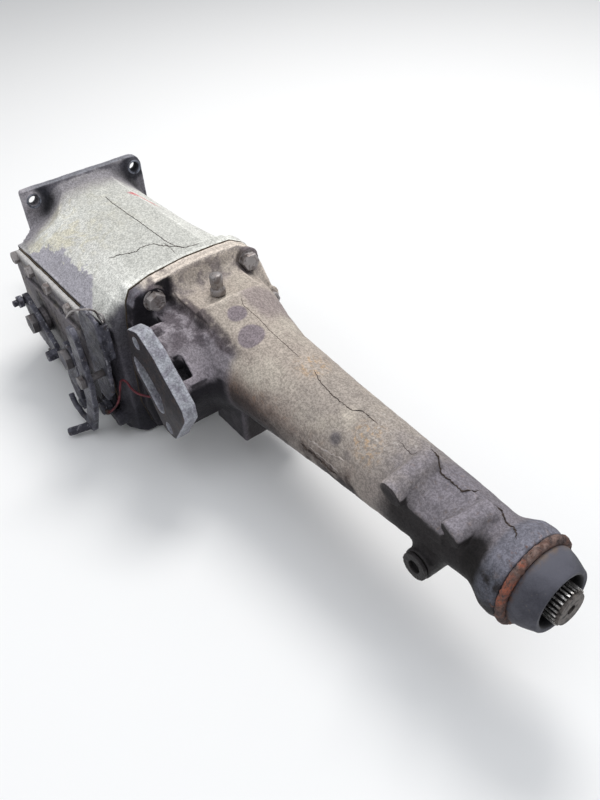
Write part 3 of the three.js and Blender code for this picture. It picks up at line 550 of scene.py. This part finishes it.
LOOKS = {
    "case_iron": case_iron(), "tail_iron": tail_front(), "cover_steel": cover_steel(),
    "lever_steel": worn_steel("lever_steel_grimy", srgb(80, 80, 89)), "bolt_steel": bolt_steel(),
    "gear_steel": gear_steel(), "bronze": bronze(), "paper": paper(), "rubber": rubber(), "nylon": nylon(),
    "wire_red": wire_red(),
}
TAIL_REAR_LOOK = tail_rear()
RING_LOOK = ring_rust()
SEAM_DIRT_AND_SHADOW_LOOK = seam_dirt_and_shadow()
SCAR_LOOK = worn_steel("scar_bare_iron", srgb(176, 166, 160), 0.25, 0)
COLLAR_LOOK = worn_steel("collar_zinc", srgb(120, 124, 135), 0.85)


# ---- making pieces ---------------------------------------------------------------------------
def put(name, mesh, material, body, replaced=()):
    """Adds a finished piece: its material, the body it rides on and the CAD nodes it stands for."""
    piece = bpy.data.objects.new(name, mesh)
    bpy.context.scene.collection.objects.link(piece)
    mesh.materials.clear()
    mesh.materials.append(material)
    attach(piece, body)
    if replaced:
        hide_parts(*replaced)
    return piece


def smooth(mesh, angle=math.radians(35)):
    for polygon in mesh.polygons:
        polygon.use_smooth = True
    if angle:
        mesh.set_sharp_from_angle(angle=angle)
    return mesh


def clouds(name, size, depth=2):
    texture = bpy.data.textures.new(name, "CLOUDS")
    texture.noise_scale = size * MM
    texture.noise_depth = depth
    return texture


def averaged(places, ends, rounds):
    """Each place moved to the middle of its neighbours along the edges, over and over."""
    count = numpy.bincount(ends.ravel(), minlength=len(places))
    for _ in range(rounds):
        sums = [numpy.bincount(ends[:, 0], places[ends[:, 1], k], len(places))
                + numpy.bincount(ends[:, 1], places[ends[:, 0], k], len(places)) for k in range(3)]
        places = numpy.stack([total / count for total in sums], axis=1)
    return places


def per_vertex(mesh, field):
    values = numpy.empty(len(mesh.vertices) * 3, dtype=numpy.float32)
    mesh.vertices.foreach_get(field, values)
    return values.reshape(-1, 3).astype(numpy.float64)


def weathered(mesh, fillet):
    """Fills the inner corners with fillets, then marks the hollows for dust and painted shade, and the edges
    as wear.
    """
    ends = numpy.empty(len(mesh.edges) * 2, dtype=numpy.int32)
    mesh.edges.foreach_get("vertices", ends)
    ends = ends.reshape(-1, 2)
    for rounds in fillet:
        places, normals = per_vertex(mesh, "co"), per_vertex(mesh, "normal")
        away = averaged(places, ends, rounds) - places
        hollow = numpy.clip(((away * normals).sum(axis=1) / MM - 0.12) / 0.4, 0, 1)
        places += away * hollow[:, None]
        mesh.vertices.foreach_set("co", places.astype(numpy.float32).ravel())
        mesh.update()
    places, normals = per_vertex(mesh, "co"), per_vertex(mesh, "normal")
    # The hollows' mark stands for dust and painted shade, the edges' mark for wear.
    lift = ((averaged(places, ends, 24) - places) * normals).sum(axis=1) / MM
    for name, values in (("dirt_and_shade", lift / 1.2), ("wear", -lift / 1.2)):
        mark = mesh.attributes.new(name, "FLOAT", "POINT")
        mark.data.foreach_set("value", numpy.clip(values, 0, 1).astype(numpy.float32))
    return smooth(mesh, 0)


def reworked(name, mesh, voxel, relax, lumps, fillet=()):
    """The mesh remade as one even skin with rounded edges, made uneven by (depth, size) lumps in mm."""
    shell = bpy.data.objects.new(name + "_making", mesh)
    bpy.context.scene.collection.objects.link(shell)
    remesh = shell.modifiers.new("skin", "REMESH")
    remesh.mode = "VOXEL"
    remesh.voxel_size = voxel * MM
    if relax:
        soften = shell.modifiers.new("round", "SMOOTH")
        soften.factor = 0.5
        soften.iterations = relax
    for depth, size in lumps:
        bumps = shell.modifiers.new("lumps", "DISPLACE")
        bumps.texture = clouds(f"{name}_{size}", size)
        bumps.texture_coords = "LOCAL"
        bumps.strength = depth * MM
        bumps.mid_level = 0.5
    bpy.context.view_layer.update()
    made = bpy.data.meshes.new_from_object(shell.evaluated_get(bpy.context.evaluated_depsgraph_get()))
    bpy.data.objects.remove(shell)
    return weathered(made, fillet)


def with_additions(node, additions):
    """A copy of a CAD node's mesh with closed solids added to it."""
    solid = bmesh.new()
    solid.from_mesh(NODES[node].data)
    for points, faces in additions:
        corners = [solid.verts.new(point) for point in points]
        for face in faces:
            solid.faces.new([corners[i] for i in face])
    mesh = bpy.data.meshes.new(node + "_solid")
    solid.to_mesh(mesh)
    solid.free()
    return mesh


def ridge(name, path, width, rise, surface, seed, wander=0.5):
    """A jagged line of casting flash over a surface, through (station, left) places, or with an up too."""
    draw = random.Random(seed)
    places = [Vector(path[0])]
    for start, end in zip(path, path[1:]):
        steps = max(1, round((Vector(end) - Vector(start)).length / 1.6))
        places += [Vector(start).lerp(Vector(end), (k + 1) / steps) for k in range(steps)]
    body = bmesh.new()
    rings = []
    for i, place in enumerate(places):
        ahead = (places[min(i + 1, len(places) - 1)] - places[max(i - 1, 0)]).normalized()
        sideways = (-ahead.y, ahead.x) if len(place) == 2 else (0, 0, 1)
        place = place + Vector(sideways) * draw.uniform(-wander, wander)
        if len(place) == 3:
            hit, normal, _, _ = surface.find_nearest(at(*place))
        else:
            hit, normal, _, _ = surface.ray_cast(at(place.x, place.y, 140), Vector((0, 0, -1)))
        if hit is None:
            continue
        run = Vector((-ahead.x, *ahead[1:])).to_3d()
        across = run.cross(normal).normalized()
        taper = min(1, (i + 1) / 5, (len(places) - i) / 5)
        half = width / 2 * draw.uniform(0.6, 1.3) * taper * MM
        high = rise * draw.uniform(0.5, 1.4) * taper * MM
        offsets = ((half, -0.8 * MM), (half * 0.35, high), (-half * 0.35, high * 0.8), (-half, -0.8 * MM))
        rings.append([body.verts.new(hit + across * a + normal * b) for a, b in offsets])
    for near, far in zip(rings, rings[1:]):
        for k in range(4):
            body.faces.new([near[k], near[(k + 1) % 4], far[(k + 1) % 4], far[k]])
    body.faces.new(rings[0])
    body.faces.new(list(reversed(rings[-1])))
    return smooth(as_mesh(name, body))


def wedge(corners, depth):
    """A closed solid: four corners, and the same four moved by depth."""
    moved = [Vector(corner) + Vector(depth) for corner in corners]
    sides = [(0, 1, 2, 3), (7, 6, 5, 4), (0, 4, 5, 1), (1, 5, 6, 2), (2, 6, 7, 3), (3, 7, 4, 0)]
    return [at(*corner) for corner in [*corners, *moved]], sides


def turned(profile, sides, start, axis):
    """A mesh turned about the line from start along axis, from (distance along, radius) points in mm."""
    along = Vector(axis).normalized()
    side = along.orthogonal().normalized()
    other = along.cross(side)
    body = bmesh.new()
    rings = []
    for reach, radius in profile:
        centre = start + along * reach * MM
        if radius < 1e-6:
            rings.append([body.verts.new(centre)])
        else:
            rings.append([body.verts.new(centre + (side * math.cos(t) + other * math.sin(t)) * radius * MM)
                          for t in (math.tau * i / sides for i in range(sides))])
    pairs = list(zip(rings, rings[1:]))
    if len(rings[0]) > 1:
        pairs.append((rings[-1], rings[0]))
    for near, far in pairs:
        for i in range(sides):
            j = (i + 1) % sides
            ring = [near[i % len(near)], near[j % len(near)], far[j % len(far)], far[i % len(far)]]
            face = [v for k, v in enumerate(ring) if v not in ring[:k]]
            if len(face) > 2:
                body.faces.new(face)
    bmesh.ops.recalc_face_normals(body, faces=body.faces)
    return body


def hexagon(body, start, axis, radius, low, high, turn=0.0, dish=0.0):
    """Adds a bolt head's hexagon with chamfered corners."""
    along = Vector(axis).normalized()
    side = along.orthogonal().normalized()
    other = along.cross(side)
    rings = []
    for reach, size, corner in ((low, 1.0, 1.0), (high - 0.16 * radius, 1.0, 1.0), (high, 0.92, 0.86),
                                (high, 0.7, 0.66), (high - dish, 0.6, 0.58)):
        ring = []
        for i in range(24):
            t = math.tau * i / 24 + turn
            flat = math.cos(math.pi / 6) / math.cos((math.tau * i / 24) % (math.pi / 3) - math.pi / 6)
            reach_here = radius * (flat if corner == 1.0 else size * min(flat, corner / size + 0.02))
            ring.append(body.verts.new(start + along * reach * MM
                                       + (side * math.cos(t) + other * math.sin(t)) * reach_here * MM))
        rings.append(ring)
    for near, far in zip(rings, rings[1:]):
        for i in range(24):
            body.faces.new([near[i], near[(i + 1) % 24], far[(i + 1) % 24], far[i]])
    body.faces.new(rings[-1])
    body.faces.new(list(reversed(rings[0])))


def as_mesh(name, body):
    mesh = bpy.data.meshes.new(name)
    bmesh.ops.recalc_face_normals(body, faces=body.faces)
    body.to_mesh(mesh)
    body.free()
    return mesh


# ---- castings --------------------------------------------------------------------------------
def surface_of(mesh):
    return BVHTree.FromPolygons([v.co for v in mesh.vertices], [p.vertices for p in mesh.polygons])


def case_casting():
    made = reworked("case_casting", NODES["main_case"].data.copy(), 1.5, 5, ((0.9, 30), (0.6, 8)), (30, 20))
    surface = surface_of(made)
    put("case_casting", made, LOOKS["case_iron"], "housing", ["main_case"])
    lines = {
        "case_seam": ([(74, 5), (97, 6.5), (164, 5.6), (220, 5.6), (237, 3.4), (250, -3)], 1.1, 0.6, 0.25),
        "case_flash": ([(191, 63), (213, 38), (211, 29), (213, 20), (234, 7.6), (247, -3), (251, -19)],
                       1.3, 0.6, 1.1),
        "case_seam_end": ([(222, 9), (240, 9), (252, 11)], 1, 0.4, 0.6),
    }
    for i, (name, (path, width, rise, wander)) in enumerate(lines.items()):
        put(name, ridge(name, path, width, rise, surface, 30 + i, wander), SEAM_DIRT_AND_SHADOW_LOOK, "housing")
    for i, (left, up) in enumerate(FLANGE_HOLES):
        name = f"flange_collar_{i + 1}"
        collar = turned([(10, 6.3), (10, 9), (15.4, 8.9), (16, 8.4), (16, 7.6), (15.4, 6.9), (14.5, 6.3)],
                        32, at(0, left, up), REARWARD)
        put(name, smooth(as_mesh(name, collar)), COLLAR_LOOK, "housing")


def tail_casting():
    web = wedge([(636, -10, 28), (636, 30, 20), (668, 30, 20), (668, -10, 28)], (0, 0, -12))
    mesh = with_additions("extension_housing", [web])
    made = reworked("tail_casting", mesh, 1.3, 5, ((1.1, 34), (0.7, 9)), (40, 25))
    surface = surface_of(made)
    put("tail_casting", made, LOOKS["tail_iron"], "housing", ["extension_housing"])
    made.materials.append(TAIL_REAR_LOOK)
    split = at(REAR_LOOK_FROM, 0, 0).x
    for polygon in made.polygons:
        polygon.material_index = int(polygon.center.x < split)
    lines = {
        "tail_seam_front": ([(344, -6), (354, -2), (378, -4), (445, -1.5)], 0.9, 0.4, 0.2),
        "tail_seam": ([(466, -1), (480, 4), (500, 7), (527, 6), (534, 0), (554, 1)], 1.1, 0.6, 0.5),
        "tail_seam_rear": ([(578, 0), (597, 3), (606, 1)], 0.9, 0.4, 0.5),
        "boss_flash_1": ([(611, -3), (619, -3), (627, 1), (636, 0), (642, 1), (650, 1), (654, -4),
                          (654, -12)], 1.7, 1.3, 0.6),
        "boss_flash_2": ([(671, -11), (679, -10), (686, -4), (694, -1), (699, 0), (708, 9)], 1.9, 1.3, 0.7),
    }
    for i, (name, (path, width, rise, wander)) in enumerate(lines.items()):
        put(name, ridge(name, path, width, rise, surface, 40 + i, wander), SEAM_DIRT_AND_SHADOW_LOOK, "housing")
    scars = {
        "scar_upper": ([(506, 39, 12), (530, 38, 13), (553, 35, 17)], 2, 1.1, 0.8, SCAR_LOOK),
        "scar_lower": ([(497, 42, 2), (518, 40, 0), (545, 38, -4)], 2.2, 1.2, 1, SEAM_DIRT_AND_SHADOW_LOOK),
        "scar_edge": ([(508, 40, 5), (530, 39, 4), (548, 37, 2)], 1.4, 0.8, 0.8, SCAR_LOOK),
    }
    for i, (name, (path, width, rise, wander, look)) in enumerate(scars.items()):
        put(name, ridge(name, path, width, rise, surface, 50 + i, wander), look, "housing")


def steel_pieces():
    """Pressed and forged pieces with rounded, caked edges."""
    for node, voxel, relax, lumps in (
        ("side_cover", 1.2, 6, ((1.0, 16), (0.6, 5))),
        ("linkage_bracket", 0.9, 4, ((1.6, 9), (0.8, 3))),
        ("lever_23", 0.8, 4, ((0.8, 7), (0.4, 3))),
        ("lever_1r", 0.8, 4, ((0.8, 7), (0.4, 3))),
        ("idler_lever", 0.8, 4, ((0.7, 12), (0.3, 4))),
        ("reverse_lamp_switch", 0.7, 3, ((0.5, 4),)),
        ("front_bearing_retainer", 1.0, 4, ((0.6, 12),)),
        ("filler_plug", 0.8, 3, ((0.5, 6),)),
        ("speedometer_adapter", 0.7, 3, ((0.5, 6),)),
    ):
        made = reworked(node, NODES[node].data.copy(), voxel, relax, lumps)
        look = TAIL_REAR_LOOK if node == "speedometer_adapter" else LOOKS[SLOT_OF[node]]
        put(node + "_worn", made, look, BODY_OF[node], [node])


# ---- fasteners -------------------------------------------------------------------------------
def bolt_like(node, axis, washer, head_radius, head_low, turn):
    """A bolt in a CAD bolt's place: shank, washer and a chamfered head, measured from the CAD node's box."""
    low, high = (Vector(corner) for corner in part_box(node))
    axis = Vector(axis)
    middle = (low + high) / 2
    span = abs((high - low).dot(axis)) / MM
    start = middle - axis * span / 2 * MM
    shank = 0.47 * head_radius
    profile = [(0, 0), (0, shank)]
    if washer:
        profile += [(head_low - 2.2, shank), (head_low - 2.2, washer - 0.3), (head_low - 1.9, washer),
                    (head_low - 0.4, washer), (head_low, washer - 0.5), (head_low, 0)]
    else:
        profile += [(head_low + 0.5, shank), (head_low + 0.5, 0)]
    body = turned(profile, 28, start, axis)
    hexagon(body, start, axis, head_radius, head_low - (0.1 if washer else 0), span, turn, 0.6)
    mesh = smooth(as_mesh(node + "_detail", body), math.radians(28))
    put(node + "_detail", mesh, LOOKS["bolt_steel"], BODY_OF[node], [node])


def bolts():
    turns = random.Random(21)
    for i in range(5):
        bolt_like(f"extension_bolt_{i + 1}", REARWARD, 12, 10.4, 18.1, turns.uniform(0, 1))
    for i in range(6):
        bolt_like(f"side_cover_bolt_{i + 1}", (0, 1, 0), 0, 7.4, 7.1, turns.uniform(0, 1))
    for i in range(4):
        bolt_like(f"retainer_bolt_{i + 1}", (1, 0, 0), 0, 7, 9.8, turns.uniform(0, 1))


# ---- tail end and small pieces ---------------------------------------------------------------
def tail_pieces():
    start = at(0, 0, 0)
    boot = turned([(725.4, 22), (725.4, 33.2), (726.6, 33.8), (729, 33.9), (731, 33.2), (732.6, 32.9),
                   (736, 31.9), (740, 30.3), (744, 28.6), (746, 27.9), (747, 26.9), (747, 24.6),
                   (746.2, 23.2), (744.6, 22.4), (741, 22)], 72, start, REARWARD)
    boot_mesh = smooth(as_mesh("seal_boot", boot))
    put("seal_boot", boot_mesh, LOOKS["rubber"], "housing", ["output_seal"])
    ring = turned([(719, 23.2), (719, 37.8), (719.8, 38.9), (721.2, 39.6), (723.4, 39.4), (724.6, 38.4),
                   (725, 37), (725, 23.2)], 120, start, REARWARD)
    made = reworked("ring_rusted", as_mesh("ring_solid", ring), 0.8, 2, ((1.3, 5), (0.7, 2.5)))
    put("ring_rusted", made, RING_LOOK, "housing", ["tail_ring"])
    low, high = (Vector(corner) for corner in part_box("vent"))
    foot = Vector(((low.x + high.x) / 2, (low.y + high.y) / 2, low.z))
    vent = turned([(0, 0), (0, 4), (8.3, 4), (8.3, 7.8), (9, 8), (13.4, 7.9), (14.6, 7.2), (15.2, 6.5),
                   (19, 6.3), (19.6, 6.7), (28.4, 6.7), (29.8, 6), (30.5, 4.2), (30.5, 0)],
                  40, foot, (0, 0, 1))
    vent_mesh = smooth(as_mesh("vent_cap", vent), math.radians(50))
    put("vent_cap", vent_mesh, LOOKS["bolt_steel"], "housing", ["vent"])


def line_piece(name, points, radius, material, body, replaced=()):
    """A round wire through the given places."""
    curve = bpy.data.curves.new(name, "CURVE")
    curve.dimensions = "3D"
    curve.bevel_depth = radius * MM
    curve.bevel_resolution = 4
    curve.use_fill_caps = True
    spline = curve.splines.new("BEZIER")
    spline.bezier_points.add(len(points) - 1)
    for point, place in zip(spline.bezier_points, points):
        point.co = at(*place)
        point.handle_left_type = point.handle_right_type = "AUTO"
    spline.resolution_u = 6
    return put(name, curve, material, body, replaced)


def wires():
    # The route is the one that the CAD wire takes, from the switch to its terminal.
    wire = [(239, 123.7, -84), (250, 121.5, -75), (258, 116, -63), (262.5, 112, -49), (266, 110, -35),
            (270.5, 108, -27), (276, 106, -27), (281, 104.5, -33), (288, 102, -37), (297, 97, -38),
            (305, 90, -38.5), (312, 82, -37.5), (317, 75.5, -36.5), (318, 70.35, -36)]
    lead = line_piece("switch_lead", wire, 1.25, LOOKS["wire_red"], "housing", ["switch_wire"])
    boot = line_piece("switch_lead_boot", [(234.5, 123.2, -84.5), (239, 123.7, -84), (244, 122.9, -80)], 2.6,
                      LOOKS["rubber"], "housing")
    clip = [(219, 131, 37), (231, 130, 48), (244, 128, 57), (253, 122.5, 60), (256, 113, 56),
            (253, 108, 43), (258, 107, 39), (265, 108, 46), (266, 109, 53), (258, 110, 52)]
    line_piece("spring_clip", clip, 1.1, LOOKS["bolt_steel"], "housing")


def remaining_nodes():
    """Every CAD node gets its procedural finish; the shafts, nuts, pins, forks and sleeves also get soft
    edges.
    """
    for name, node in NODES.items():
        node.data.materials.clear()
        node.data.materials.append(LOOKS[SLOT_OF[name]])
        if name.startswith(("shift_shaft", "lever_nut", "idler_pin", "countershaft", "fork", "sleeve")):
            bevel = node.modifiers.new("edges", "BEVEL")
            bevel.width = 0.4 * MM
            bevel.segments = 2
            bevel.limit_method = "ANGLE"


def floor():
    reach = 30  # metres to each side
    corners = [(-reach, -reach, 0), (reach, -reach, 0), (reach, reach, 0), (-reach, reach, 0)]
    mesh = bpy.data.meshes.new("floor")
    mesh.from_pydata(corners, [], [(0, 1, 2, 3)])
    mesh.materials.append(floor_paint())
    ground = bpy.data.objects.new("floor", mesh)
    bpy.context.scene.collection.objects.link(ground)


studio()
floor()
remaining_nodes()
case_casting()
tail_casting()
steel_pieces()
bolts()
tail_pieces()
wires()

bpy.context.view_layer.update()
